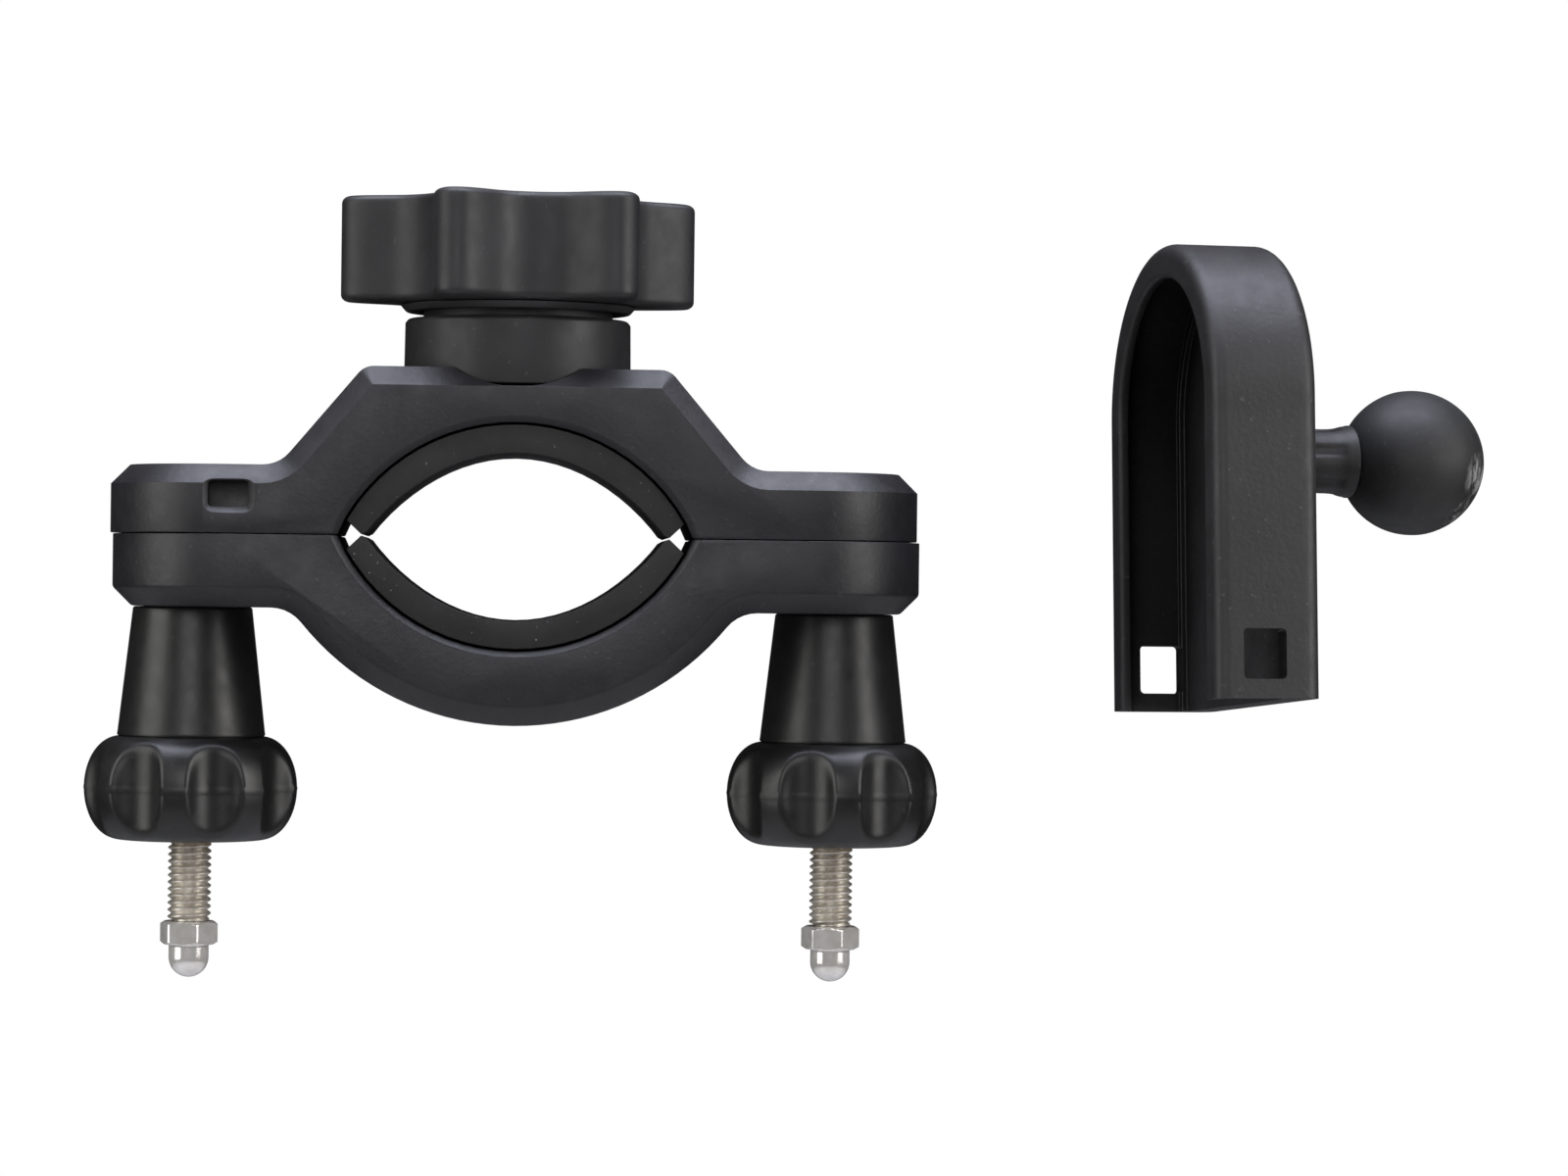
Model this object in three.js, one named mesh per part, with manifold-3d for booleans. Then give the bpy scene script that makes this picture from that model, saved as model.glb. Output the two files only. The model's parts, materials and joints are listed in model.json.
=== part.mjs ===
// Phone mount for a bicycle handlebar, as a kit: a split handlebar clamp with a ball socket on top,
// and the slotted phone bracket on a ball that the socket grips, laid down beside the clamp.
// Millimetres, +Z up, the handlebar runs along Y through the origin, the front faces -Y.
import * as THREE from "three";
import { mergeVertices } from "three/addons/utils/BufferGeometryUtils.js";
import Module from "manifold-3d";

const wasm = await Module();
wasm.setup();
const { Manifold, Mesh } = wasm;

// Driving dimensions.
const GAP = 0.3; // clearance between neighbouring parts
const DEPTH = 27; // clamp size along the handlebar
const CHAMFER = 2.2; // edge chamfer round both jaws
const EAR = { half: 46.9, top: 7.9, bottom: -8.4, shift: 0.3 };
const PLATFORM = { half: 17.4, top: 19.3, root: 27 };
const BELLY = { radius: 31.3, centre: 9.7, fillet: 4.5 }; // outer arc of the lower jaw
const BORE = { radius: 22.4, shift: 9.3 }; // pad seats, centred past the split
const PAD = { inner: 18.5, depth: 25.4, tip: 17.5, rise: 2.4 };
const POCKET = { x: -32.6, z: 4.5, half: [2.3, 1.5], bevel: 0.7, depth: 3.6 };
const BOLT = { x: 37.3, radius: 2.5, hole: 2.9, head: 8, end: -44.6, tail: 1.7 };
const STOP_NUT = { flats: 6, top: -44.9, shoulder: -47.6, tip: -51.4, dome: 2.3 };
const KNOB = { top: -8.75, waist: -23.5, bottom: -35.4, flutes: 8 };
const INSERT = { outer: 4, bottom: -35, top: -22.4 };
const COLLAR = { radius: 13.2, floor: 17.5, top: 25.3, thread: 11, pit: 22.6 };
const SEAT = 36; // height of the seated ball's centre
const RING = { bottom: 27.2, top: 39.5, tip: 20.7, core: 14, lobes: 6, phase: -22.5, bore: 11.4 };
const BALL = { radius: 8.5, x: 105.2, z: 9.97 };
const NECK = { ball: 4.3, waist: 3.9, foot: 4.65 };
const BRACKET = {
  width: 38.4, top: 24.9, bottom: -28.7, back: 18.6, mouth: 31.1, edge: 1.4,
  lip: 1.4, rim: 3.9, wall: 1.8, floor: 3.8, window: [5.1, 5.7], windowUp: 5, windowIn: 5.7,
  relief: { wide: 0.4, deep: 0.3 },
};
const LAID = { yaw: 10.8, tilt: 4 }; // how the bracket lies, in degrees

const radians = THREE.MathUtils.degToRad;
const degrees = THREE.MathUtils.radToDeg;

// ---- joining and cutting closed geometries ----

function solidOf(geometry) {
  const bare = geometry.index ? geometry.toNonIndexed() : geometry.clone();
  bare.deleteAttribute("normal");
  bare.deleteAttribute("uv");
  const merged = mergeVertices(bare, 1e-4);
  const corners = merged.index.array;
  const triangles = [];
  for (let i = 0; i < corners.length; i += 3) {
    const [a, b, c] = corners.slice(i, i + 3);
    if (a !== b && b !== c && c !== a) triangles.push(a, b, c);
  }
  return new Manifold(
    new Mesh({
      numProp: 3,
      vertProperties: merged.attributes.position.array,
      triVerts: new Uint32Array(triangles),
    }),
  );
}

function geometryOf(solid) {
  const { vertProperties, triVerts } = solid.getMesh();
  return new THREE.BufferGeometry()
    .setAttribute("position", new THREE.BufferAttribute(vertProperties, 3))
    .setIndex(new THREE.BufferAttribute(triVerts, 1));
}

const join = (...parts) => geometryOf(parts.map(solidOf).reduce((a, b) => a.add(b)));
const meet = (a, b) => geometryOf(solidOf(a).intersect(solidOf(b)));
const cut = (body, ...tools) =>
  geometryOf(tools.map(solidOf).reduce((left, tool) => left.subtract(tool), solidOf(body)));

// ---- shapes ----

// Points along an arc, between two angles in degrees.
function arc(x, y, radius, from, to, steps) {
  return Array.from({ length: steps + 1 }, (_, i) => {
    const angle = radians(from + ((to - from) * i) / steps);
    return [x + radius * Math.cos(angle), y + radius * Math.sin(angle)];
  });
}

// An outline whose corners [x, y, radius] are rounded by tangent arcs.
function rounded(corners, steps = 5) {
  return corners.flatMap(([x, y, radius = 0], i) => {
    if (!radius) return [[x, y]];
    const corner = new THREE.Vector2(x, y);
    const towards = (j) =>
      new THREE.Vector2(...corners.at(j % corners.length)).sub(corner).normalize();
    const before = towards(i - 1);
    const after = towards(i + 1);
    const half = Math.acos(before.dot(after)) / 2;
    const inward = before.clone().add(after).setLength(radius / Math.sin(half));
    const reach = radius / Math.tan(half);
    const start = before.setLength(reach).sub(inward).angle();
    const end = after.setLength(reach).sub(inward).angle();
    const sweep = ((end - start + 3 * Math.PI) % (2 * Math.PI)) - Math.PI;
    const centre = inward.add(corner);
    return arc(centre.x, centre.y, radius, degrees(start), degrees(start + sweep), steps);
  });
}

const shapeOf = (outline) => new THREE.Shape(outline.map(([x, y]) => new THREE.Vector2(x, y)));

// An outline in XY run up Z between two heights, with chamfered or rounded rims inside it.
function prism(outline, bottom, top, edge = 0, steps = 1) {
  return new THREE.ExtrudeGeometry(shapeOf(outline), {
    depth: top - bottom - 2 * edge,
    bevelEnabled: edge > 0,
    bevelThickness: edge,
    bevelSize: edge,
    bevelOffset: -edge,
    bevelSegments: steps,
  }).translate(0, 0, bottom + edge);
}

// A front outline (x, z) run along Y, centred on y = 0.
const plate = (outline, depth, edge, steps) =>
  prism(outline, -depth / 2, depth / 2, edge, steps).rotateX(Math.PI / 2);

// A profile of [radius, z] points turned round Z.
function turned(profile, segments) {
  const points = profile.map(([r, z]) => new THREE.Vector2(r, z));
  if (THREE.ShapeUtils.area(points) < 0) points.reverse();
  if (points[0].x > 0 || points.at(-1).x > 0) points.push(points[0].clone());
  return new THREE.LatheGeometry(points, segments).rotateX(Math.PI / 2);
}

const rod = (radius, bottom, top, segments) =>
  new THREE.CylinderGeometry(radius, radius, top - bottom, segments)
    .rotateX(Math.PI / 2)
    .translate(0, 0, (bottom + top) / 2);

const box = (x0, x1, y0, y1, z0, z1) =>
  new THREE.BoxGeometry(x1 - x0, y1 - y0, z1 - z0)
    .translate((x0 + x1) / 2, (y0 + y1) / 2, (z0 + z1) / 2);

const hexagon = (flats, phase) => arc(0, 0, flats / Math.sqrt(3), phase, phase + 300, 5);

// ---- handlebar clamp ----

// The round-ended plan of the ears, chamfered at its rims.
function earSlab(bottom, top) {
  const radius = DEPTH / 2;
  const reach = EAR.half - radius;
  const plan = [...arc(reach, 0, radius, -90, 90, 20), ...arc(-reach, 0, radius, 90, 270, 20)];
  return prism(plan, bottom, top, CHAMFER);
}

// The bore that a rubber pad sits in, a little wider at its two mouths.
function padSeat(z) {
  const { radius } = BORE;
  const wide = radius + 1.2;
  const reach = DEPTH / 2 + 0.5;
  return turned(
    [[0, -reach], [wide, -reach], [radius, 1.2 - reach], [radius, reach - 1.2], [wide, reach],
      [0, reach]],
    72,
  ).rotateX(Math.PI / 2).translate(0, 0, z);
}

const boltHoles = () =>
  [-1, 1].map((side) => rod(BOLT.hole, -30, 30, 28).translate(side * BOLT.x, 0, 0));

// A small bevelled pocket in the front of the left ear.
function earPocket() {
  const { x, z, half, bevel, depth } = POCKET;
  const panel = (grow, from, to, edge) => {
    const [w, h] = half.map((size) => size + grow);
    const r = 0.5 + grow;
    return prism(rounded([[-w, -h, r], [w, -h, r], [w, h, r], [-w, h, r]], 3), from, to, edge);
  };
  const front = DEPTH / 2;
  return join(panel(0, front - depth, front + 2, 0), panel(bevel, front - bevel, front + 2, bevel))
    .rotateX(Math.PI / 2)
    .translate(x, 0, z);
}

function upperJaw() {
  const { half, top, root } = PLATFORM;
  const outline = rounded([
    [-60, -8], [60, -8], [60, EAR.top], [root, EAR.top, 4], [half, top, 2.3],
    [-half, top, 2.3], [-root, EAR.top, 4], [-60, EAR.top],
  ]);
  const limits = join(earSlab(-12, EAR.top), box(-29, 29, -20, 20, -12, 40));
  const headPockets = [-1, 1].map((side) =>
    prism(hexagon(BOLT.head + 2 * GAP, 30), 4.1, 20).translate(side * BOLT.x, 0, 0),
  );
  return cut(
    meet(plate(outline, DEPTH, CHAMFER), limits),
    box(-80, 80, -20, 20, -20, GAP),
    padSeat(-BORE.shift),
    ...boltHoles(),
    ...headPockets,
    rod(COLLAR.radius + GAP, COLLAR.floor - GAP, 40, 56),
    rod(2.1, 6, 30, 20),
    rod(4, 5, 15.8, 28),
    earPocket(),
  );
}

function lowerJaw() {
  const { radius, centre, fillet } = BELLY;
  const drop = centre - (EAR.bottom - fillet);
  const across = Math.sqrt((radius + fillet) ** 2 - drop ** 2);
  const lean = degrees(Math.atan2(drop, across));
  const outline = [
    [60, 8], [-60, 8], [-60, EAR.bottom],
    ...arc(-across, EAR.bottom - fillet, fillet, 90, lean, 5),
    ...arc(0, centre, radius, 180 + lean, 360 - lean, 36).slice(1, -1),
    ...arc(across, EAR.bottom - fillet, fillet, 180 - lean, 90, 5),
    [60, EAR.bottom],
  ];
  const limits = join(
    earSlab(EAR.bottom, 12).translate(EAR.shift, 0, 0),
    box(-29, 29, -20, 20, -40, 12),
  );
  return cut(
    meet(plate(outline, DEPTH, CHAMFER), limits),
    box(-80, 80, -20, 20, -GAP, 20),
    padSeat(BORE.shift),
    ...boltHoles(),
  );
}

// The upper rubber arc. Its ends are cut back towards the jaw.
function gripPad() {
  const { inner, depth, tip, rise } = PAD;
  const outer = BORE.radius - GAP;
  const ring = turned(
    [[inner, -depth / 2], [outer, -depth / 2], [outer, depth / 2], [inner, depth / 2]], 72,
  ).rotateX(Math.PI / 2).translate(0, 0, -BORE.shift);
  const keep = [
    [-tip, GAP], [tip, GAP], [tip + 3, GAP + rise], [30, 40], [-30, 40], [-tip - 3, GAP + rise],
  ];
  return meet(ring, plate(keep, 2 * depth));
}

function clampBolt() {
  const { radius, head, end, tail } = BOLT;
  const shank = turned(
    [[0, end - 4.6], [tail, end - 4.6], [tail, end], [radius - 0.4, end], [radius, end + 0.5],
      [radius, 5], [0, 5]],
    28,
  );
  const crown = turned([[0, 4.4], [4.7, 4.4], [4.7, 6.9], [4, 7.5], [0, 7.5]], 28);
  return join(shank, meet(prism(hexagon(head, 30), 4.4, 7.5), crown));
}

// A small hexagon nut closed by a dome, screwed on the bolt's thinner tail.
function stopNut() {
  const { flats, top, shoulder, tip, dome } = STOP_NUT;
  const chamfered = turned(
    [[0, shoulder], [2.9, shoulder], [3.5, shoulder + 0.35], [3.5, top - 0.35], [2.9, top],
      [0, top]],
    28,
  );
  const cap = turned(
    [[0, tip], ...arc(0, tip + dome, dome, -80, 0, 6), [dome, shoulder + 0.1],
      [0, shoulder + 0.1]],
    28,
  );
  return cut(
    join(meet(prism(hexagon(flats, 20), shoulder, top), chamfered), cap),
    rod(BOLT.tail + GAP, top - 5, top + 1, 20),
  );
}

// A long clamp knob: a cone above a fluted barrel. The phase turns its flutes, in degrees.
function clampKnob(phase) {
  const { top, waist, bottom, flutes } = KNOB;
  const barrel = turned(
    [[2.9, bottom], [8.6, bottom], [9.9, bottom + 0.5], [11.1, bottom + 1.6],
      [11.9, bottom + 3.2], [12.3, bottom + 5.4], [12.3, bottom + 6.8], [11.8, bottom + 9],
      [10.9, bottom + 10.6], [9.8, bottom + 11.6], [8.55, waist], [2.9, waist]],
    40,
  );
  const cuts = Array.from({ length: flutes }, (_, i) =>
    rod(4.2, bottom - 2, waist + 2, 24)
      .translate(14.6, 0, 0)
      .rotateZ(radians(phase + ((i + 0.5) * 360) / flutes)),
  );
  const cone = turned([[2.9, waist - 1], [8.55, waist - 1], [8.55, waist], [6.9, top],
    [2.9, top]], 40);
  return cut(join(cut(barrel, ...cuts), cone), rod(INSERT.outer + GAP, -36, -22, 28));
}

const knobInsert = () =>
  turned([[2.8, INSERT.bottom], [INSERT.outer, INSERT.bottom], [INSERT.outer, INSERT.top],
    [2.8, INSERT.top]], 28);

// ---- ball socket ----

const seatRadius = BALL.radius + GAP;

// The socket: a collar with a slotted, threaded collet round the ball.
function ballSocket() {
  const { radius, floor, top, thread, pit } = COLLAR;
  const lip = 3.1;
  const profile = [
    [2.1, floor], [radius, floor], [radius - 0.1, top - 0.4], [radius - 0.5, top],
    [thread, top], [thread, 33], [9.8, SEAT + lip],
    ...arc(0, SEAT, seatRadius, degrees(Math.asin(lip / seatRadius)), -34, 7),
    [7.3, pit], [2.1, pit],
  ];
  const slots = [45, 135].map((turn) =>
    box(-20, 20, -0.8, 0.8, 28, 45).rotateZ(radians(turn)),
  );
  return cut(turned(profile, 48), ...slots);
}

// The pad under the ball, with a dished top.
function frictionCup() {
  const angle = (radius) => -degrees(Math.acos(radius / seatRadius));
  const dish = arc(0, SEAT, seatRadius, angle(7), angle(1.6), 6);
  return turned([[1.6, COLLAR.pit + GAP], [7, COLLAR.pit + GAP], ...dish], 40);
}

function socketScrew() {
  const screw = turned(
    [[0, 13.6], [2.8, 13.6], [3.6, 14.3], [3.6, 15.5], [1.75, 15.5], [1.75, 21.9], [1.3, 22.3],
      [0, 22.3]],
    28,
  );
  const slot = () => box(-2.2, 2.2, -0.4, 0.4, 13, 14.8);
  return cut(screw, slot(), slot().rotateZ(Math.PI / 2));
}

const thrustRing = () =>
  turned([[RING.bore, 26.1], [13, 26.1], [13.7, 26.9], [RING.bore, 26.9]], 48);

// The ring nut: rounded lobes round a core, with a bore that squeezes the collet.
function socketKnob() {
  const { bottom, top, tip, core, lobes, phase, bore } = RING;
  const blank = turned(
    [[bore, bottom], [tip - 1, bottom], [tip - 0.3, bottom + 0.3], [tip, bottom + 1],
      [tip, top - 1], [tip - 0.3, top - 0.3], [tip - 1, top], [11.4, top], [10.4, top - 0.8],
      [bore, 33.2]],
    72,
  );
  const half = radians(180 / lobes - 8); // half the angle that one groove spans at the tips
  const sagitta = tip * Math.cos(half) - core;
  const radius = ((tip * Math.sin(half)) ** 2 + sagitta ** 2) / (2 * sagitta);
  const grooves = Array.from({ length: lobes }, (_, i) =>
    rod(radius, bottom - 1, top + 1, 48)
      .translate(core + radius, 0, 0)
      .rotateZ(radians(phase - 90 + ((i + 0.5) * 360) / lobes)),
  );
  return cut(blank, ...grooves);
}

// ---- bracket on its ball: the stem runs along +X from the ball's centre ----

const alongStem = (profile, segments) => turned(profile, segments).rotateY(Math.PI / 2);

// A tapered stem with four grooves, dished where it meets the ball.
function ballNeck() {
  const foot = BRACKET.back - GAP;
  const rim = degrees(Math.acos(NECK.ball / seatRadius));
  const body = alongStem(
    [[1.3, foot], [1.3, 12], [0, 12], ...arc(0, 0, seatRadius, 90, rim, 4), [NECK.ball, 9],
      [NECK.waist, 9.6], [NECK.foot, foot]],
    36,
  );
  const grooves = [0, 90, 180, 270].map((turn) =>
    box(10.4, foot - 1.4, 1.1, 6, 1.1, 6).rotateX(radians(turn)),
  );
  const core = alongStem([[1.3, foot], [1.3, 12], [0, 12], [0, 10], [2.9, 10], [3.3, foot]], 28);
  return join(cut(body, ...grooves), core);
}

// The arch-topped outline of the bracket, set in from its outer faces and run down to a height.
function arch(inset, low) {
  const radius = BRACKET.width / 2 - inset;
  const spring = BRACKET.top - BRACKET.width / 2;
  return [[-radius, low], [radius, low], ...arc(0, spring, radius, 0, 180, 28)];
}

function slotBracket() {
  const { bottom, back, mouth, edge, lip, rim, wall, floor, relief } = BRACKET;
  const { window, windowUp, windowIn } = BRACKET;
  const slab = (inset, low, from, to, round) =>
    plate(arch(inset, low), to - from, round, 2)
      .rotateZ(Math.PI / 2)
      .translate((from + to) / 2, 0, 0);
  const inside = bottom - 9;
  const middle = mouth - windowIn;
  const bed = back + floor;
  const reliefGroove = cut(
    slab(wall, inside, bed - relief.deep, bed + 0.5),
    slab(wall + relief.wide, inside - 1, bed - 1, bed + 1),
  );
  return cut(
    slab(0, bottom - 5, back, mouth, edge),
    box(0, 60, -40, 40, -60, bottom),
    slab(rim, inside, mouth - lip - 1, mouth + 1),
    slab(wall, inside, bed, mouth - lip),
    reliefGroove,
    box(middle - window[0] / 2, middle + window[0] / 2, -30, 30,
      bottom + windowUp - window[1] / 2, bottom + windowUp + window[1] / 2),
    alongStem([[0, back - 1], [1.7, back - 1], [1.7, back + 1.2], [3.4, back + 2.6],
      [3.4, back + 5], [0, back + 5]], 28),
  );
}

function neckScrew() {
  const { back } = BRACKET;
  return alongStem(
    [[0, 12.4], [0.7, 12.4], [1, 12.8], [1, back], [1.3, back + 1.4], [2.8, back + 2.7],
      [0, back + 2.7]],
    28,
  );
}

// ---- assembly ----

const finishes = {
  satin: { color: 0x2c2b30, roughness: 0.42, metalness: 0 },
  matte: { color: 0x262529, roughness: 0.6, metalness: 0 },
  gloss: { color: 0x1a191b, roughness: 0.32, metalness: 0 },
  rubber: { color: 0x1d1d1e, roughness: 0.85, metalness: 0 },
  steel: { color: 0xb9b2a6, roughness: 0.3, metalness: 1 },
  brass: { color: 0xb8934a, roughness: 0.35, metalness: 1 },
};

function piece(name, geometry, finish) {
  const flat = geometry.toNonIndexed();
  flat.computeVertexNormals();
  const mesh = new THREE.Mesh(flat, new THREE.MeshStandardMaterial(finishes[finish]));
  mesh.name = name;
  return mesh;
}

const root = new THREE.Group();
root.name = "phone_mount";
root.add(
  piece("upper_jaw", upperJaw(), "satin"),
  piece("lower_jaw", lowerJaw(), "satin"),
  piece("upper_pad", gripPad(), "rubber"),
  piece("ball_socket", ballSocket(), "matte"),
  piece("friction_cup", frictionCup(), "rubber"),
  piece("socket_screw", socketScrew(), "steel"),
  piece("thrust_ring", thrustRing(), "matte"),
  piece("socket_knob", socketKnob(), "matte"),
);
const lowerPad = piece("lower_pad", gripPad(), "rubber");
lowerPad.rotation.y = Math.PI;
root.add(lowerPad);

for (const [name, side, phase] of [["left", -1, -95], ["right", 1, -85]]) {
  const post = new THREE.Group();
  post.position.x = side * BOLT.x;
  post.add(
    piece(`${name}_bolt`, clampBolt(), "steel"),
    piece(`${name}_stop_nut`, stopNut(), "steel"),
    piece(`${name}_knob`, clampKnob(phase), "gloss"),
    piece(`${name}_knob_insert`, knobInsert(), "brass"),
  );
  root.add(post);
}

const adapter = new THREE.Group();
adapter.position.set(BALL.x, 0, BALL.z);
adapter.rotation.set(radians(LAID.tilt), 0, radians(180 + LAID.yaw), "ZYX");
adapter.add(
  piece("ball", new THREE.SphereGeometry(BALL.radius, 32, 20), "matte"),
  piece("ball_neck", ballNeck(), "matte"),
  piece("neck_screw", neckScrew(), "steel"),
  piece("slot_bracket", slotBracket(), "matte"),
);
root.add(adapter);

export default root;
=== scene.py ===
"""Looks of the phone mount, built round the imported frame. Metres; shapes are written in
millimetres and scaled once. The clamp is at the origin, the bracket lies to its right."""

import json
import math

import bmesh
import bpy
import numpy as np
from mathutils import Matrix, Vector


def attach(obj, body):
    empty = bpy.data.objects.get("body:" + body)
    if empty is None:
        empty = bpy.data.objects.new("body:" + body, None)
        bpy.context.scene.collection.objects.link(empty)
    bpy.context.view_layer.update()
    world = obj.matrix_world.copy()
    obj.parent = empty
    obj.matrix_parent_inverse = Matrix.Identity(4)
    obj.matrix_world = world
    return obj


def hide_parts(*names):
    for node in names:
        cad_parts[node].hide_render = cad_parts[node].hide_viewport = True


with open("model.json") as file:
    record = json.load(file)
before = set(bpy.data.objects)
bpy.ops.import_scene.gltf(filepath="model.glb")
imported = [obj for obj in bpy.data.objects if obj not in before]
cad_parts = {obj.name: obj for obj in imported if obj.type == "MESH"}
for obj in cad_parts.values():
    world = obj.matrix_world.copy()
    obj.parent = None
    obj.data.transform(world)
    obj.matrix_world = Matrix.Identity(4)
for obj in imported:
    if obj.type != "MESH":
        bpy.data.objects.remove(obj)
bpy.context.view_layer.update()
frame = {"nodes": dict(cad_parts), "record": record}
MM = 0.001
JOINTS = {joint["name"]: joint for joint in frame["record"]["behaviour"]["joints"]}
BODY_OF = {
    node: body
    for body, nodes in frame["record"]["behaviour"]["bodies"].items()
    for node in nodes
}

# ---- driving dimensions, in millimetres ----

BOLT_X = JOINTS["right_knob_turn"]["pos_m"][0] / MM
KNOB = {"top": -8.45, "waist": -23.45, "bottom": -35.4, "tip": 12.3, "bore": 2.9}
FLUTES = 8
RING = {"bottom": 27.0, "top": 39.3, "tip": 20.7, "core": 14.0, "lobes": 6, "phase": -22.5}
THREAD = {"radius": 2.5, "depth": 0.42, "pitch": 0.8, "end": -44.82, "tail": 1.7}
NUT = {"flats": 6.0, "top": -44.9, "shoulder": -47.6, "tip": -51.4, "dome": 2.3}
BALL_RADIUS = 8.5
BRACKET = {"half": 19.2, "top": 24.9, "bottom": -28.7, "back": 18.6, "mouth": 31.1}
LIP, RIM, WALL, FLOOR = 1.4, 3.9, 1.8, 3.8
WINDOW = {"wide": 5.1, "high": 5.7, "up": 5.0, "inward": 5.7}
NECK = {"end": 4.25, "foot": BRACKET["back"] - 0.3, "seat": BALL_RADIUS + 0.3, "ribs": 3}
PAD = {"shift": 9.3, "inside": 19.2, "half": 17.5, "corner": 15.8, "edge": 0.16, "flare": 1.1}
SEAM = 0.25  # how far the faces on the split between the jaws move towards it
SPLIT_REACH = 0.35  # a point this near the split belongs to a split face
CRISP_EDGE, JAW_EDGE = 0.12, 0.28
BRACKET_LEAN = 4.0  # degrees round the stem
BRACKET_LIFT = 0.2
RING_EASE = 0.9
OUTLINE_BLUR = 27  # columns over which the ring nut's outline is softened
FLOOR_DROP, FLOOR_REACH = -0.3, 0.6  # metres
CAMERA = {"distance": 548, "height": -5.45, "aim": 31.4, "roll": 0.7, "lens": 107.8, "sensor": 36}


# ---- materials ----

def new_material(name):
    material = bpy.data.materials.new(name)
    material.use_nodes = True
    return material, material.node_tree.nodes, material.node_tree.links


def noise(nodes, links, coords, scale, detail=4.0, roughness=0.6):
    node = nodes.new("ShaderNodeTexNoise")
    node.inputs["Scale"].default_value = scale
    node.inputs["Detail"].default_value = detail
    node.inputs["Roughness"].default_value = roughness
    links.new(coords, node.inputs["Vector"])
    return node.outputs["Fac"]


def ramp(nodes, links, source, stops):
    """A colour ramp through (position, grey or colour) stops."""
    node = nodes.new("ShaderNodeValToRGB")
    while len(node.color_ramp.elements) < len(stops):
        node.color_ramp.elements.new(0.5)
    for element, (position, value) in zip(node.color_ramp.elements, stops):
        colour = value if isinstance(value, tuple) else (value,) * 3
        element.position = position
        element.color = (*colour, 1)
    links.new(source, node.inputs["Fac"])
    return node.outputs["Color"]


def mixed(nodes, links, factor, first, second, blend="MIX"):
    node = nodes.new("ShaderNodeMix")
    node.data_type = "RGBA"
    node.blend_type = blend
    sockets = (node.inputs[0], node.inputs[6], node.inputs[7])
    for socket, value in zip(sockets, (factor, first, second)):
        if isinstance(value, bpy.types.NodeSocket):
            links.new(value, socket)
        elif socket == node.inputs[0]:
            socket.default_value = value
        else:
            socket.default_value = (*value, 1)
    return node.outputs[2]


def moulded(name, colour, rough, grain=2600.0, depth=0.00002, specks=0.0, cloud=0.18):
    """Moulded plastic or rubber: clouded colour, fine grain, uneven gloss and pale dust specks."""
    material, nodes, links = new_material(name)
    shader = nodes["Principled BSDF"]
    coords = nodes.new("ShaderNodeTexCoord").outputs["Object"]
    large = noise(nodes, links, coords, 130.0)
    low = tuple(c * (1 - cloud) for c in colour)
    high = tuple(c * (1 + cloud) for c in colour)
    base = ramp(nodes, links, large, [(0.35, low), (0.65, high)])
    if specks:
        fine = noise(nodes, links, coords, 1500.0, 2.0, 0.4)
        mask = ramp(nodes, links, fine, [(0.70, 0.0), (0.76, specks)])
        base = mixed(nodes, links, mask, base, (0.32, 0.32, 0.33))
    links.new(base, shader.inputs["Base Color"])
    gloss = noise(nodes, links, coords, 420.0, 5.0)
    spread = ramp(nodes, links, gloss, [(0.3, rough - 0.05), (0.7, rough + 0.07)])
    links.new(spread, shader.inputs["Roughness"])
    bump = nodes.new("ShaderNodeBump")
    bump.inputs["Strength"].default_value = 0.6
    bump.inputs["Distance"].default_value = depth
    links.new(noise(nodes, links, coords, grain, 3.0), bump.inputs["Height"])
    links.new(bump.outputs["Normal"], shader.inputs["Normal"])
    shader.inputs["Specular IOR Level"].default_value = 0.5
    return material


def metal(name, colour, rough, stain, bright, streak=(1, 1, 1)):
    """Plated or turned metal with uneven gloss, faint stains and fine tool marks."""
    material, nodes, links = new_material(name)
    shader = nodes["Principled BSDF"]
    shader.inputs["Metallic"].default_value = bright
    coords = nodes.new("ShaderNodeTexCoord").outputs["Object"]
    mapping = nodes.new("ShaderNodeMapping")
    mapping.inputs["Scale"].default_value = streak
    links.new(coords, mapping.inputs["Vector"])
    blot = noise(nodes, links, coords, 700.0, 4.0)
    base = ramp(nodes, links, blot, [(0.35, stain), (0.6, colour)])
    links.new(base, shader.inputs["Base Color"])
    marks = noise(nodes, links, mapping.outputs["Vector"], 1800.0, 3.0)
    spread = ramp(nodes, links, marks, [(0.3, rough * 0.7), (0.75, rough * 1.5)])
    links.new(spread, shader.inputs["Roughness"])
    bump = nodes.new("ShaderNodeBump")
    bump.inputs["Strength"].default_value = 0.5
    bump.inputs["Distance"].default_value = 0.000008
    links.new(marks, bump.inputs["Height"])
    links.new(bump.outputs["Normal"], shader.inputs["Normal"])
    return material


def painted_shade_in_hollows(material, reach):
    """Paints shade into a finish where the surface is hemmed in, as deep inside a channel: ambient
    occlusion darkens its colour and its specular tint.
    """
    nodes, links = material.node_tree.nodes, material.node_tree.links
    shader = nodes["Principled BSDF"]
    hemmed = nodes.new("ShaderNodeAmbientOcclusion")
    hemmed.inputs["Distance"].default_value = reach
    hemmed.samples = 8
    open_sky = ramp(nodes, links, hemmed.outputs["AO"], [(0.3, 0.02), (0.8, 1.0)])
    base = shader.inputs["Base Color"].links[0].from_socket
    links.new(mixed(nodes, links, 1.0, base, open_sky, "MULTIPLY"), shader.inputs["Base Color"])
    # the same painted shade also dims the specular tint in the hollows
    links.new(open_sky, shader.inputs["Specular Tint"])
    return material


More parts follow.
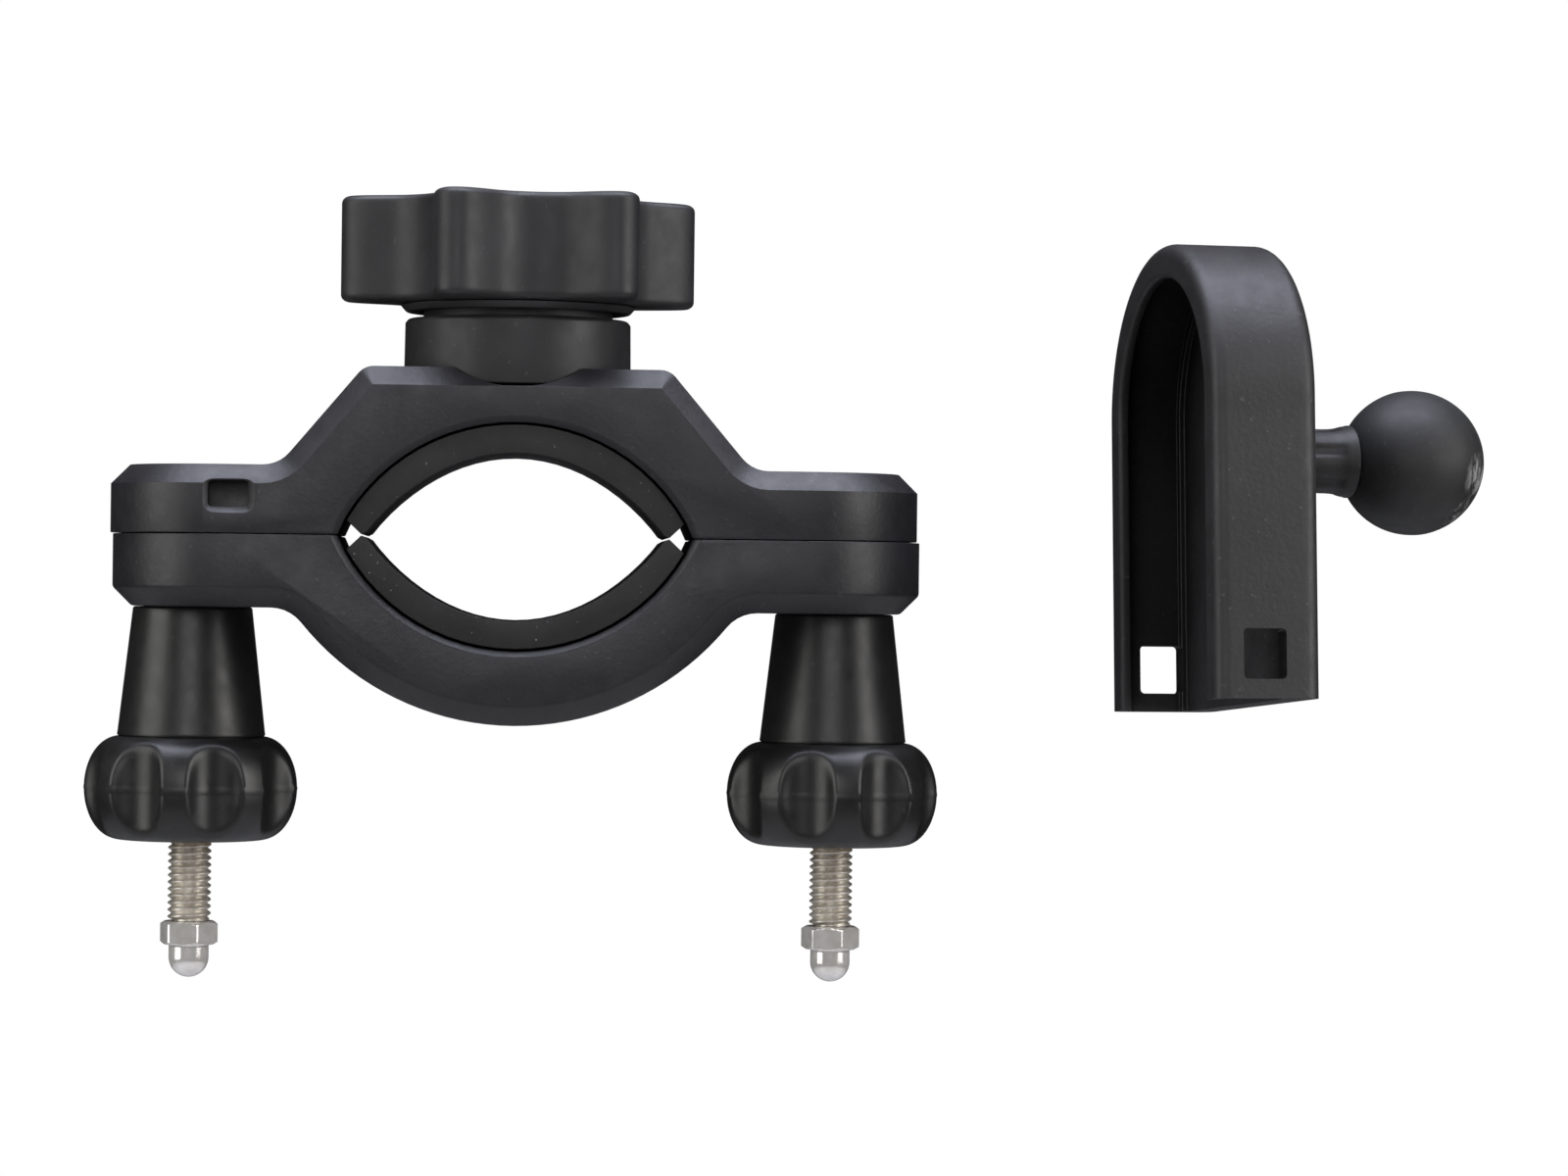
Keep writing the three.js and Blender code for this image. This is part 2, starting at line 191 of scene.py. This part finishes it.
def scuffed_ball(centre):
    """Like the bracket's plastic, rubbed pale in a few short scuffs on the ball's outer side."""
    material = moulded("ball_plastic", (0.013, 0.013, 0.0135), 0.58, 1800.0, 0.00003, 0.05, 0.3)
    nodes, links = material.node_tree.nodes, material.node_tree.links
    shader = nodes["Principled BSDF"]
    base = shader.inputs["Base Color"].links[0].from_socket
    coords = nodes["Texture Coordinate"].outputs["Object"]
    offset = nodes.new("ShaderNodeVectorMath")
    offset.operation = "SUBTRACT"
    offset.inputs[1].default_value = centre
    links.new(coords, offset.inputs[0])
    near = (0, 0, 0)
    for direction in ((0.84, -0.51, -0.18), (0.64, -0.37, -0.67)):
        side = nodes.new("ShaderNodeVectorMath")
        side.operation = "DOT_PRODUCT"
        side.inputs[1].default_value = Vector(direction) / (BALL_RADIUS * MM)
        links.new(offset.outputs[0], side.inputs[0])
        spot = ramp(nodes, links, side.outputs["Value"], [(0.93, 0.0), (0.985, 1.0)])
        near = mixed(nodes, links, 1.0, near, spot, "LIGHTEN")
    stretch = nodes.new("ShaderNodeMapping")
    stretch.inputs["Scale"].default_value = (1, 1, 0.35)
    links.new(coords, stretch.inputs["Vector"])
    flecks = noise(nodes, links, stretch.outputs["Vector"], 900.0, 4.0, 0.7)
    mask = ramp(nodes, links, flecks, [(0.48, 0.0), (0.62, 0.8)])
    mask = mixed(nodes, links, near, (0, 0, 0), mask)
    links.new(mixed(nodes, links, mask, base, (0.34, 0.34, 0.34)), shader.inputs["Base Color"])
    return material


MATERIALS = {
    "jaw_plastic": moulded("jaw_plastic", (0.0125, 0.0118, 0.014), 0.44, 1700.0, 0.00005, 0.06),
    "socket_plastic": moulded(
        "socket_plastic", (0.017, 0.0162, 0.0175), 0.5, 2400.0, 0.00002, 0.07),
    "knob_plastic": moulded("knob_plastic", (0.0105, 0.0102, 0.01), 0.36, 1600.0, 0.000014, 0.04),
    # the bracket's plastic carries painted shade in its hollows, from ambient occlusion
    "bracket_plastic": painted_shade_in_hollows(
        moulded("bracket_plastic", (0.018, 0.017, 0.0175), 0.5, 1500.0, 0.00006, 0.1), 0.03),
    "pad_rubber": moulded("pad_rubber", (0.0095, 0.0093, 0.0095), 0.64, 1500.0, 0.00005, 0.7, 0.25),
    "nickel": metal("nickel", (0.72, 0.68, 0.61), 0.36, (0.5, 0.46, 0.4), 0.7, (1, 1, 6)),
    "polished_nickel": metal("polished_nickel", (0.93, 0.91, 0.88), 0.16, (0.8, 0.77, 0.73), 0.5),
    "brass": metal("brass", (0.72, 0.52, 0.25), 0.3, (0.5, 0.34, 0.15), 0.9, (1, 1, 5)),
}


# ---- mesh tools ----

def add_piece(name, mesh, node, sharp=35.0):
    """Puts a mesh in place of a CAD node, with the node's body and finish."""
    piece = bpy.data.objects.new(name, mesh)
    bpy.context.collection.objects.link(piece)
    mesh.polygons.foreach_set("use_smooth", [True] * len(mesh.polygons))
    mesh.set_sharp_from_angle(angle=math.radians(sharp))
    slot = next(s["material_slot"] for s in frame["record"]["subparts"] if s["node"] == node)
    mesh.materials.clear()
    mesh.materials.append(MATERIALS[slot])
    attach(piece, BODY_OF[node])
    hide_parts(node)
    return piece


def grid_mesh(name, points, closed, place=Matrix.Identity(4)):
    """A closed surface from rows of points that each run round an axis. Rows either close on
    themselves, as round a bore, or end in a pole at each end."""
    rows, columns = points.shape[:2]
    made = bmesh.new()
    grid = [[made.verts.new(place @ Vector(p)) for p in row] for row in points * MM]
    last = rows if closed else rows - 1
    for i in range(last):
        for j in range(columns):
            after, beside = (i + 1) % rows, (j + 1) % columns
            made.faces.new((grid[i][j], grid[i][beside], grid[after][beside], grid[after][j]))
    bmesh.ops.remove_doubles(made, verts=made.verts, dist=1e-7)
    bmesh.ops.dissolve_degenerate(made, edges=made.edges, dist=1e-8)
    bmesh.ops.recalc_face_normals(made, faces=made.faces)
    mesh = bpy.data.meshes.new(name)
    made.to_mesh(mesh)
    made.free()
    return mesh


def round_grid(radius, height, columns):
    """Points at (radius, height) for each row, turned round Z. radius may vary round the row."""
    angle = np.linspace(0, 2 * np.pi, columns, endpoint=False)
    radius = np.broadcast_to(radius, (len(height), columns))
    return np.stack(
        [radius * np.cos(angle), radius * np.sin(angle),
         np.broadcast_to(np.asarray(height)[:, None], radius.shape)], axis=-1)


def soft_min(a, b, reach):
    """The smaller of two, blended over a reach, as a fillet between two surfaces."""
    near = np.clip(reach - np.abs(a - b), 0, None) / reach
    return np.minimum(a, b) - near**2 * reach / 4


def groove_radius(angle, count, phase, centre, radius):
    """How far out a ray runs before it meets one of the round grooves cut along an axis."""
    step = 2 * np.pi / count
    off = (angle - phase + step / 2) % step - step / 2
    inside = radius**2 - (centre * np.sin(off)) ** 2
    reach = centre * np.cos(off) - np.sqrt(np.clip(inside, 0, None))
    return np.where(inside > 0, reach, centre * 2)


def curve(*runs):
    """Joins runs of (radius, height) points and drops repeats."""
    points = [tuple(p) for run in runs for p in run]
    return np.array([p for i, p in enumerate(points) if i == 0 or p != points[i - 1]])


def arc(x, y, radius, start, end, steps):
    return [
        (x + radius * math.cos(math.radians(a)), y + radius * math.sin(math.radians(a)))
        for a in np.linspace(start, end, steps + 1)
    ]


def line(a, b, steps):
    start, run = np.array(a), np.array(b) - np.array(a)
    return [tuple(start + run * t) for t in np.linspace(0, 1, steps + 1)]


def refined(node, width, seam=0.0, hollow=0.0):
    """A copy of a CAD node with its flat faces merged and its sharp edges rounded off. The faces
    on the split between the jaws move a little towards it, by the seam, and stay crisper. A pad's
    inner face is worn away from the middle of the opening by the hollow, and by the flare at its
    ends."""
    made = bmesh.new()
    made.from_mesh(frame["nodes"][node].data)
    bmesh.ops.remove_doubles(made, verts=made.verts, dist=2e-6)
    bmesh.ops.dissolve_limit(
        made, angle_limit=math.radians(0.8), verts=made.verts, edges=made.edges)
    for vert in made.verts:
        from_axis = math.hypot(vert.co.x, abs(vert.co.z) + PAD["shift"] * MM)
        if hollow and from_axis < PAD["inside"] * MM:
            thin = 1 - (vert.co.x / (PAD["half"] * MM)) ** 2
            wide = (vert.co.x / (PAD["corner"] * MM)) ** 4
            vert.co.z += math.copysign(hollow * MM * max(0, thin), vert.co.z)
            vert.co.x += math.copysign(PAD["flare"] * MM * wide, vert.co.x)
    split = {v for v in made.verts if seam and abs(v.co.z) < SPLIT_REACH * MM}
    for vert in split:
        vert.co.z -= math.copysign(seam * MM, vert.co.z)

    def ease(chosen, offset):
        edges = [
            e for e in made.edges
            if len(e.link_faces) == 2 and e.calc_face_angle(0) > math.radians(30) and chosen(e)
        ]
        bmesh.ops.bevel(
            made, geom=edges, offset=offset * MM, offset_type="OFFSET", segments=3,
            profile=0.5, affect="EDGES", clamp_overlap=True, miter_outer="ARC")

    ease(lambda e: split.issuperset(e.verts), CRISP_EDGE)
    ease(lambda e: True, width)
    bmesh.ops.recalc_face_normals(made, faces=made.faces)
    mesh = bpy.data.meshes.new(node + "_fine")
    made.to_mesh(mesh)
    made.free()
    return add_piece(node + "_fine", mesh, node, 40.0)


# ---- clamp hardware ----

def knob_mesh(name, side, phase):
    """A clamp knob: a cone over a barrel with eight rounded flutes, and a bore right through."""
    top, waist, bottom, tip = KNOB["top"], KNOB["waist"], KNOB["bottom"], KNOB["tip"]
    middle, half = (waist + bottom) / 2, (waist - bottom) / 2
    inner = 8.2
    power = 2 / 2.02
    turns = np.linspace(math.pi / 2, -math.pi / 2, 61)
    barrel = [
        (inner + (tip - inner) * abs(math.cos(t)) ** power,
         middle + half * math.copysign(abs(math.sin(t)) ** power, t))
        for t in turns
    ]
    section = curve(
        [(KNOB["bore"], top), (6.5, top)], arc(6.6, top - 0.3, 0.3, 90, 5, 4),
        line((6.92, top - 0.5), (8.5, waist + 0.5), 16), [(8.55, waist + 0.25), (8.5, waist + 0.1)],
        [(8.2, waist + 0.02)], barrel, line((8.1, bottom), (4.7, bottom), 3),
        arc(4.5, bottom + 0.3, 0.3, -90, -180, 3), line((4.2, bottom + 2), (4.2, -22.2), 4),
        line((4.2, -22.2), (KNOB["bore"], -22.2), 2),
        line((KNOB["bore"], -21), (KNOB["bore"], top), 4),
    )
    columns = 288
    angle = np.linspace(0, 2 * np.pi, columns, endpoint=False)
    flute = groove_radius(angle, FLUTES, math.radians(phase + 180 / FLUTES), 14.6, 4.2)
    radius = np.repeat(section[:, :1], columns, axis=1)
    fluted = (section[:, 1] < waist) & (section[:, 0] > 8.15)
    radius[fluted] = soft_min(radius[fluted], flute[None, :], 0.7)
    radius[fluted] += 0.05 * np.exp(-(((section[fluted, 1:] - middle) / 0.12) ** 2))
    points = round_grid(radius, section[:, 1], columns)
    return grid_mesh(name, points, True, Matrix.Translation((side * BOLT_X * MM, 0, 0)))


def hexagon(angle, flats, phase, reach):
    """Radius of a hexagon with slightly rounded corners."""
    turn = (angle - phase) % (math.pi / 3)
    first = flats / 2 / np.cos(turn)
    second = flats / 2 / np.cos(math.pi / 3 - turn)
    return soft_min(first, second, reach)


def bolt_mesh(name, side):
    """A hexagon-headed bolt with a rolled right-hand thread and a thinner tail."""
    columns, pitch, top = 48, THREAD["pitch"], 2.0
    angle = np.linspace(0, 2 * np.pi, columns, endpoint=False)
    heights = np.arange(THREAD["end"], top, pitch / 10)
    phase = (heights[:, None] / pitch - angle[None, :] / (2 * np.pi)) % 1.0
    crest = np.clip(1.35 * np.abs(2 * phase - 1) - 0.1, 0, 1)
    fade = np.clip((heights - THREAD["end"]) / 0.25, 0, 1)[:, None]
    threads = THREAD["radius"] - THREAD["depth"] * (1 - crest) - 0.25 * (1 - fade)
    across = np.cos(np.pi / 6)
    head = []
    for z, spread, trim in (
        (4.4, 2.5, 0), (4.4, 4.9, 0.5), (4.6, 4.9, 0.2), (4.8, 5, 0), (6.7, 5, 0), (7.15, 4.75, 0),
        (7.5, 3.9, 0), (7.5, 2.6, 0), (7.3, 2.3, 0), (7.3, 0, 0),
    ):
        flat = hexagon(angle, 8.0, math.pi / 6, 0.2)
        head.append(np.minimum(flat - trim * 0.3, spread / across if spread > 4.85 else spread))
    radius = np.vstack([
        np.zeros((1, columns)), np.full((1, columns), THREAD["tail"] - 0.3),
        np.full((2, columns), THREAD["tail"]), threads, np.full((2, columns), 2.5), head])
    z = np.concatenate([
        [THREAD["end"] - 4.6, THREAD["end"] - 4.6, THREAD["end"] - 4.3, THREAD["end"] - 0.01],
        heights, [top, 4.39], [4.4, 4.4, 4.6, 4.8, 6.7, 7.15, 7.5, 7.5, 7.3, 7.3]])
    points = round_grid(radius, z, columns)
    return grid_mesh(name, points, False, Matrix.Translation((side * BOLT_X * MM, 0, 0)))


def stop_nut_mesh(name, side):
    """A small hexagon nut with a polished dome."""
    columns, top, shoulder, tip, dome = 96, NUT["top"], NUT["shoulder"], NUT["tip"], NUT["dome"]
    angle = np.linspace(0, 2 * np.pi, columns, endpoint=False)
    flat = hexagon(angle, NUT["flats"], math.radians(20), 0.1)
    rows = [(2.0, top - 4.6, 0), (2.0, top - 0.25, 0), (2.2, top, 0), (2.85, top, 1)]
    rows += [(2.85 + 0.75 * t, top - 0.42 * t, 1) for t in (0.25, 0.5, 0.75, 1)]
    rows += [(4.0, z, 1) for z in np.linspace(top - 0.5, shoulder + 0.5, 8)]
    rows += [(2.85 + 0.75 * t, shoulder + 0.42 * t, 1) for t in (1, 0.75, 0.5, 0.25, 0)]
    rows += [(dome + 0.18, shoulder, 0), (dome + 0.04, shoulder - 0.05, 0)]
    rows += [(dome, shoulder - 0.2, 0)]
    rows += [(dome, z, 0) for z in np.linspace(shoulder - 0.3, tip + dome, 5)]
    rows += [(r, z, 0) for r, z in arc(0, tip + dome, dome, -4, -90, 18)]
    radius = np.array([soft_min(np.full(columns, r), flat, 0.05) if hexed else np.full(columns, r)
                       for r, _, hexed in rows])
    z = np.array([row[1] for row in rows])
    radius = np.vstack([np.zeros(columns), radius])
    z = np.concatenate([[top - 4.6], z])
    points = round_grid(radius, z, columns)
    return grid_mesh(name, points, False, Matrix.Translation((side * BOLT_X * MM, 0, 0)))


for label, side, phase in (("left", -1, -95.0), ("right", 1, -85.0)):
    add_piece(f"{label}_knob_fine", knob_mesh(f"{label}_knob_fine", side, phase), f"{label}_knob")
    add_piece(f"{label}_bolt_fine", bolt_mesh(f"{label}_bolt_fine", side), f"{label}_bolt", 50.0)
    add_piece(f"{label}_stop_nut_fine", stop_nut_mesh(f"{label}_stop_nut_fine", side),
              f"{label}_stop_nut", 28.0)
    refined(f"{label}_knob_insert", 0.15)

refined("upper_jaw", JAW_EDGE, SEAM)
refined("lower_jaw", JAW_EDGE, SEAM)
refined("upper_pad", PAD["edge"], SEAM, hollow=0.35)
refined("lower_pad", PAD["edge"], SEAM, hollow=0.45)
refined("ball_socket", 0.18)
refined("friction_cup", 0.2)
refined("socket_screw", 0.12)
refined("thrust_ring", 0.15)
refined("neck_screw", 0.12)


# ---- ring nut ----

def ring_nut_mesh():
    """Six rounded lobes with eased edges, round a bore that tapers at its mouth."""
    bottom, top, tip, core, count = (RING[k] for k in ("bottom", "top", "tip", "core", "lobes"))
    half = math.radians(180 / count - 8)
    sagitta = tip * math.cos(half) - core
    groove = ((tip * math.sin(half)) ** 2 + sagitta**2) / (2 * sagitta)
    columns = 480
    angle = np.linspace(0, 2 * np.pi, columns, endpoint=False)
    phase = math.radians(RING["phase"] - 90 + 180 / count)

    blur = np.hanning(OUTLINE_BLUR)
    blur /= blur.sum()
    half_blur = OUTLINE_BLUR // 2

    def outline(inset):
        hollows = groove_radius(angle, count, phase, core + groove, groove + inset)
        sharp = np.minimum(tip - inset, hollows)
        wrapped = np.concatenate([sharp[-half_blur:], sharp, sharp[:half_blur]])
        return np.convolve(wrapped, blur, "valid")

    ease = RING_EASE
    rows = [(np.full(columns, 11.4), bottom + 0.5), (np.full(columns, 11.9), bottom)]
    rows += [(11.9 + (outline(ease) - 11.9) * t, bottom) for t in np.linspace(0.15, 0.85, 6)]
    rows += [(outline(ease * (1 - math.sin(t))), bottom + ease * (1 - math.cos(t)))
             for t in np.linspace(0, math.pi / 2, 9)]
    rows += [(outline(0), z) for z in np.linspace(bottom + 1.2, top - 1.2, 12)]
    rows += [(outline(ease * (1 - math.cos(t))), top - ease * (1 - math.sin(t)))
             for t in np.linspace(0, math.pi / 2, 9)]
    rows += [(12.4 + (outline(ease) - 12.4) * t, top) for t in np.linspace(0.85, 0.15, 6)]
    mouth = [(12.3, top), (11.9, top - 0.1), (11.6, top - 0.35), (11.4, top - 0.6),
             (10.7, top - 0.8), (10.45, top - 1.05), (10.4, top - 1.3), (11.4, 33.2)]
    rows += [(np.full(columns, r), z) for r, z in mouth]
    radius = np.array([r for r, _ in rows])
    return grid_mesh("socket_knob_fine", round_grid(radius, [z for _, z in rows], columns), True)


add_piece("socket_knob_fine", ring_nut_mesh(), "socket_knob", 30.0)


# ---- bracket on its ball ----

ball_centre = Vector(JOINTS["bracket_turn"]["pos_m"])
stem = Vector(JOINTS["bracket_turn"]["axis"]).normalized()
laid = (Matrix.Translation(ball_centre + Vector((0, 0, BRACKET_LIFT * MM)))
        @ Matrix.Rotation(math.atan2(stem.y, stem.x), 4, "Z")
        @ Matrix.Rotation(math.radians(BRACKET_LEAN), 4, "X"))
AXIS_TO_STEM = Matrix.Rotation(math.pi / 2, 4, "Y")


def ball_mesh():
    """The ball, with the thin ridge of its mould's parting line round it."""
    steps = np.linspace(0, math.pi, 97)
    columns = 160
    angle = np.linspace(0, 2 * np.pi, columns, endpoint=False)
    ridge = 0.03 * np.exp(-((np.sin(angle) * BALL_RADIUS / 0.12) ** 2))
    radius = (BALL_RADIUS + ridge[None, :] * np.sin(steps)[:, None] ** 4) * np.sin(steps)[:, None]
    points = round_grid(radius, BALL_RADIUS * np.cos(steps), columns)
    return grid_mesh("ball_fine", points, False, laid @ AXIS_TO_STEM)


def neck_mesh():
    """The stem: waisted, with low ribs along it and a rounded end that hugs the ball."""
    end, foot, seat = NECK["end"], NECK["foot"], NECK["seat"]
    columns = 240
    angle = np.linspace(0, 2 * np.pi, columns, endpoint=False)
    ribs = np.abs(np.cos(NECK["ribs"] * (angle - math.radians(14))))
    ribs = np.clip((ribs - 0.25) / 0.5, 0, 1)
    ribs = ribs * ribs * (3 - 2 * ribs)
    rows = [(r, math.sqrt(seat**2 - r**2), 0) for r in np.linspace(0, end - 0.15, 8)]
    rows += [(end, math.sqrt(seat**2 - end**2) + 0.2, 0), (end, 8.2, 0), (end - 0.12, 8.6, 0)]
    for x in np.linspace(8.8, foot - 0.6, 40):
        swell = 0.42 * math.exp(-(((x - 8.2) / 1.3) ** 2))
        body = 3.78 + swell + 0.75 * max(0, (x - 13.5) / 4.8) ** 2
        deep = 0.34 * math.sin(math.pi * np.clip((x - 9.4) / (foot - 9.4), 0, 1)) ** 0.6
        rows.append((body, x, deep))
    rows += [(rows[-1][0] + 0.05, foot - 0.3, 0), (rows[-1][0] + 0.25, foot, 0), (0, foot, 0)]
    radius = np.array([r - deep * (1 - ribs) for r, _, deep in rows])
    points = round_grid(radius, [x for _, x, _ in rows], columns)
    return grid_mesh("ball_neck_fine", points, False, laid @ AXIS_TO_STEM)


def bracket_section():
    """The wall's section as (inset from the outline, distance along the stem)."""
    back, mouth = BRACKET["back"], BRACKET["mouth"]
    floor = back + FLOOR
    return (
        arc(1.7, back + 1.7, 1.7, 270, 180, 8)
        + line((0, back + 2.4), (0, mouth - 1.8), 4)
        + arc(1.5, mouth - 1.5, 1.5, 180, 90, 8)
        + line((1.9, mouth), (RIM - 0.9, mouth), 2)
        + arc(RIM - 0.5, mouth - 0.5, 0.5, 90, 0, 5)
        + arc(RIM - 0.25, mouth - LIP + 0.25, 0.25, 0, -90, 3)
        + line((RIM - 0.8, mouth - LIP), (WALL + 0.3, mouth - LIP), 2)
        + arc(WALL + 0.2, mouth - LIP - 0.2, 0.2, 90, 180, 2)
        + line((WALL, mouth - LIP - 0.6), (WALL, floor + 1.1), 3)
        + [(WALL, floor + 0.75), (WALL + 0.1, floor + 0.65), (WALL + 0.8, floor + 0.65)]
        + [(WALL + 0.9, floor + 0.55), (WALL + 0.9, floor + 0.1), (WALL + 1.0, floor)]
    )


def bracket_mesh():
    """The arch-topped channel: its wall's section swept up one side, over and down the other."""
    half, low = BRACKET["half"], BRACKET["bottom"]
    spring = BRACKET["top"] - half
    path = [(-1.0, z) for z in np.linspace(low, spring, 24, endpoint=False)]
    path += [(math.cos(t), spring, math.sin(t)) for t in np.linspace(math.pi, 0, 97)]
    path += [(1.0, z) for z in np.linspace(spring, low, 25)[1:]]
    section = bracket_section()
    made = bmesh.new()
    rows = []
    for step in path:
        row = []
        for inset, x in section:
            if len(step) == 2:
                y, z = step[0] * (half - inset), step[1]
            else:
                y, z = step[0] * (half - inset), step[1] + step[2] * (half - inset)
            row.append(made.verts.new(Vector((x, y, z)) * MM))
        rows.append(row)
    for row, after in zip(rows, rows[1:]):
        for j in range(len(section) - 1):
            made.faces.new((row[j], row[j + 1], after[j + 1], after[j]))
    made.faces.new([row[0] for row in rows])
    made.faces.new([row[-1] for row in rows][::-1])
    made.faces.new(rows[0] + rows[-1][::-1])
    bmesh.ops.recalc_face_normals(made, faces=made.faces)
    mesh = bpy.data.meshes.new("slot_bracket_fine")
    made.to_mesh(mesh)
    made.free()
    return mesh


def box_cutter(low, high):
    made = bmesh.new()
    bmesh.ops.create_cube(made, size=1.0)
    low, high = Vector(low) * MM, Vector(high) * MM
    for vert in made.verts:
        vert.co = Vector((low[i] + (vert.co[i] + 0.5) * (high[i] - low[i]) for i in range(3)))
    through = [e for e in made.edges if abs((e.verts[0].co - e.verts[1].co).y) > MM]
    bmesh.ops.bevel(
        made, geom=through, offset=0.5 * MM, segments=4, profile=0.5, affect="EDGES")
    mesh = bpy.data.meshes.new("cutter")
    made.to_mesh(mesh)
    made.free()
    return mesh


def screw_hole_cutter():
    back = BRACKET["back"]
    section = curve([(0, back - 2), (1.7, back - 2), (1.7, back + 1.2), (3.4, back + 2.6),
                     (3.4, back + 6), (0, back + 6)])
    points = round_grid(section[:, :1], section[:, 1], 48)
    return grid_mesh("cutter", points, False, AXIS_TO_STEM)


def cut(mesh, cutters):
    """Cuts closed meshes out of a mesh and returns the result."""
    body = bpy.data.objects.new("body", mesh)
    bpy.context.collection.objects.link(body)
    tools = []
    for cutter in cutters:
        tool = bpy.data.objects.new("tool", cutter)
        bpy.context.collection.objects.link(tool)
        tools.append(tool)
        modifier = body.modifiers.new("cut", "BOOLEAN")
        modifier.operation = "DIFFERENCE"
        modifier.solver = "EXACT"
        modifier.object = tool
    graph = bpy.context.evaluated_depsgraph_get()
    result = bpy.data.meshes.new_from_object(body.evaluated_get(graph), depsgraph=graph)
    for item in [body, *tools]:
        bpy.data.objects.remove(item)
    return result


def finished_bracket():
    low, mouth, half = BRACKET["bottom"], BRACKET["mouth"], BRACKET["half"]
    middle, up = mouth - WINDOW["inward"], low + WINDOW["up"]
    wide, high = WINDOW["wide"] / 2, WINDOW["high"] / 2
    windows = [
        box_cutter((middle - wide, side - 4, up - high), (middle + wide, side + 4, up + high))
        for side in (-half, half)
    ]
    mesh = cut(bracket_mesh(), [*windows, screw_hole_cutter()])
    mesh.transform(laid)
    mesh.name = "slot_bracket_fine"
    return mesh


ball_piece = add_piece("ball_fine", ball_mesh(), "ball")
ball_piece.data.materials[0] = scuffed_ball(ball_centre)
add_piece("ball_neck_fine", neck_mesh(), "ball_neck")
add_piece("slot_bracket_fine", finished_bracket(), "slot_bracket", 38.0)


# ---- stage, light and camera ----

def area_light(name, position, target, size, power, colour=(1, 1, 1)):
    data = bpy.data.lights.new(name, "AREA")
    data.shape = "RECTANGLE"
    data.size, data.size_y = size
    data.energy = power
    data.color = colour
    light = bpy.data.objects.new(name, data)
    light.location = position
    light.rotation_euler = (Vector(target) - Vector(position)).to_track_quat("-Z", "Y").to_euler()
    bpy.context.collection.objects.link(light)


def make_floor(height, reach):
    """A round pale floor that shines to the camera but throws little light up at the part."""
    mesh = bpy.data.meshes.new("floor")
    rim = [(x, y, height) for x, y in arc(0, 0, reach, 0, 360, 96)[:-1]]
    mesh.from_pydata(rim, [], [range(len(rim))])
    material, nodes, links = new_material("floor")
    shader = nodes["Principled BSDF"]
    shader.inputs["Base Color"].default_value = (0.6, 0.6, 0.6, 1)
    shader.inputs["Roughness"].default_value = 0.9
    shader.inputs["Emission Color"].default_value = (0.7, 0.7, 0.71, 1)
    path = nodes.new("ShaderNodeLightPath")
    links.new(path.outputs["Is Camera Ray"], shader.inputs["Emission Strength"])
    mesh.materials.append(material)
    floor = bpy.data.objects.new("floor", mesh)
    bpy.context.collection.objects.link(floor)


def make_world():
    """White to the camera, and all but dark as light, so that the soft boxes shape the part."""
    world = bpy.data.worlds.new("studio")
    world.use_nodes = True
    bpy.context.scene.world = world
    nodes, links = world.node_tree.nodes, world.node_tree.links
    background = nodes["Background"]
    coords = nodes.new("ShaderNodeTexCoord")
    split = nodes.new("ShaderNodeSeparateXYZ")
    links.new(coords.outputs["Generated"], split.inputs["Vector"])
    shade = ramp(nodes, links, split.outputs["Z"], [(0.0, 0.02), (0.45, 0.02), (0.62, 0.1)])
    path = nodes.new("ShaderNodeLightPath")
    links.new(mixed(nodes, links, path.outputs["Is Camera Ray"], shade, (1, 1, 1)),
              background.inputs["Color"])
    background.inputs["Strength"].default_value = 1.0


def make_camera():
    camera = bpy.data.objects.new("camera", bpy.data.cameras.new("camera"))
    bpy.context.collection.objects.link(camera)
    camera.location = (0, -CAMERA["distance"] * MM, CAMERA["height"] * MM)
    aim = Vector((CAMERA["aim"] * MM, 0, CAMERA["height"] * MM)) - camera.location
    look = aim.to_track_quat("-Z", "Y").to_matrix().to_4x4()
    roll = Matrix.Rotation(math.radians(CAMERA["roll"]), 4, "Z")
    camera.matrix_world = Matrix.Translation(camera.location) @ look @ roll
    camera.data.sensor_width = CAMERA["sensor"]
    camera.data.lens = CAMERA["lens"]
    bpy.context.scene.camera = camera


make_floor(FLOOR_DROP, FLOOR_REACH)
make_world()
area_light("left", (-0.42, -0.20, 0.09), (-0.01, 0, 0), (0.30, 0.45), 1.2, (1.0, 1.0, 0.97))
area_light("right", (0.48, -0.25, 0.11), (0.06, 0, 0), (0.30, 0.40), 1.7, (1.0, 0.98, 0.96))
area_light("top", (0.03, -0.03, 0.42), (0.03, 0, 0), (0.60, 0.30), 3.9, (0.82, 0.85, 1.0))
area_light("front", (-0.05, -0.72, 0.20), (0.02, 0, 0), (0.35, 0.35), 1.15, (1.0, 0.98, 1.0))
make_camera()
bpy.context.scene.view_settings.view_transform = "Standard"
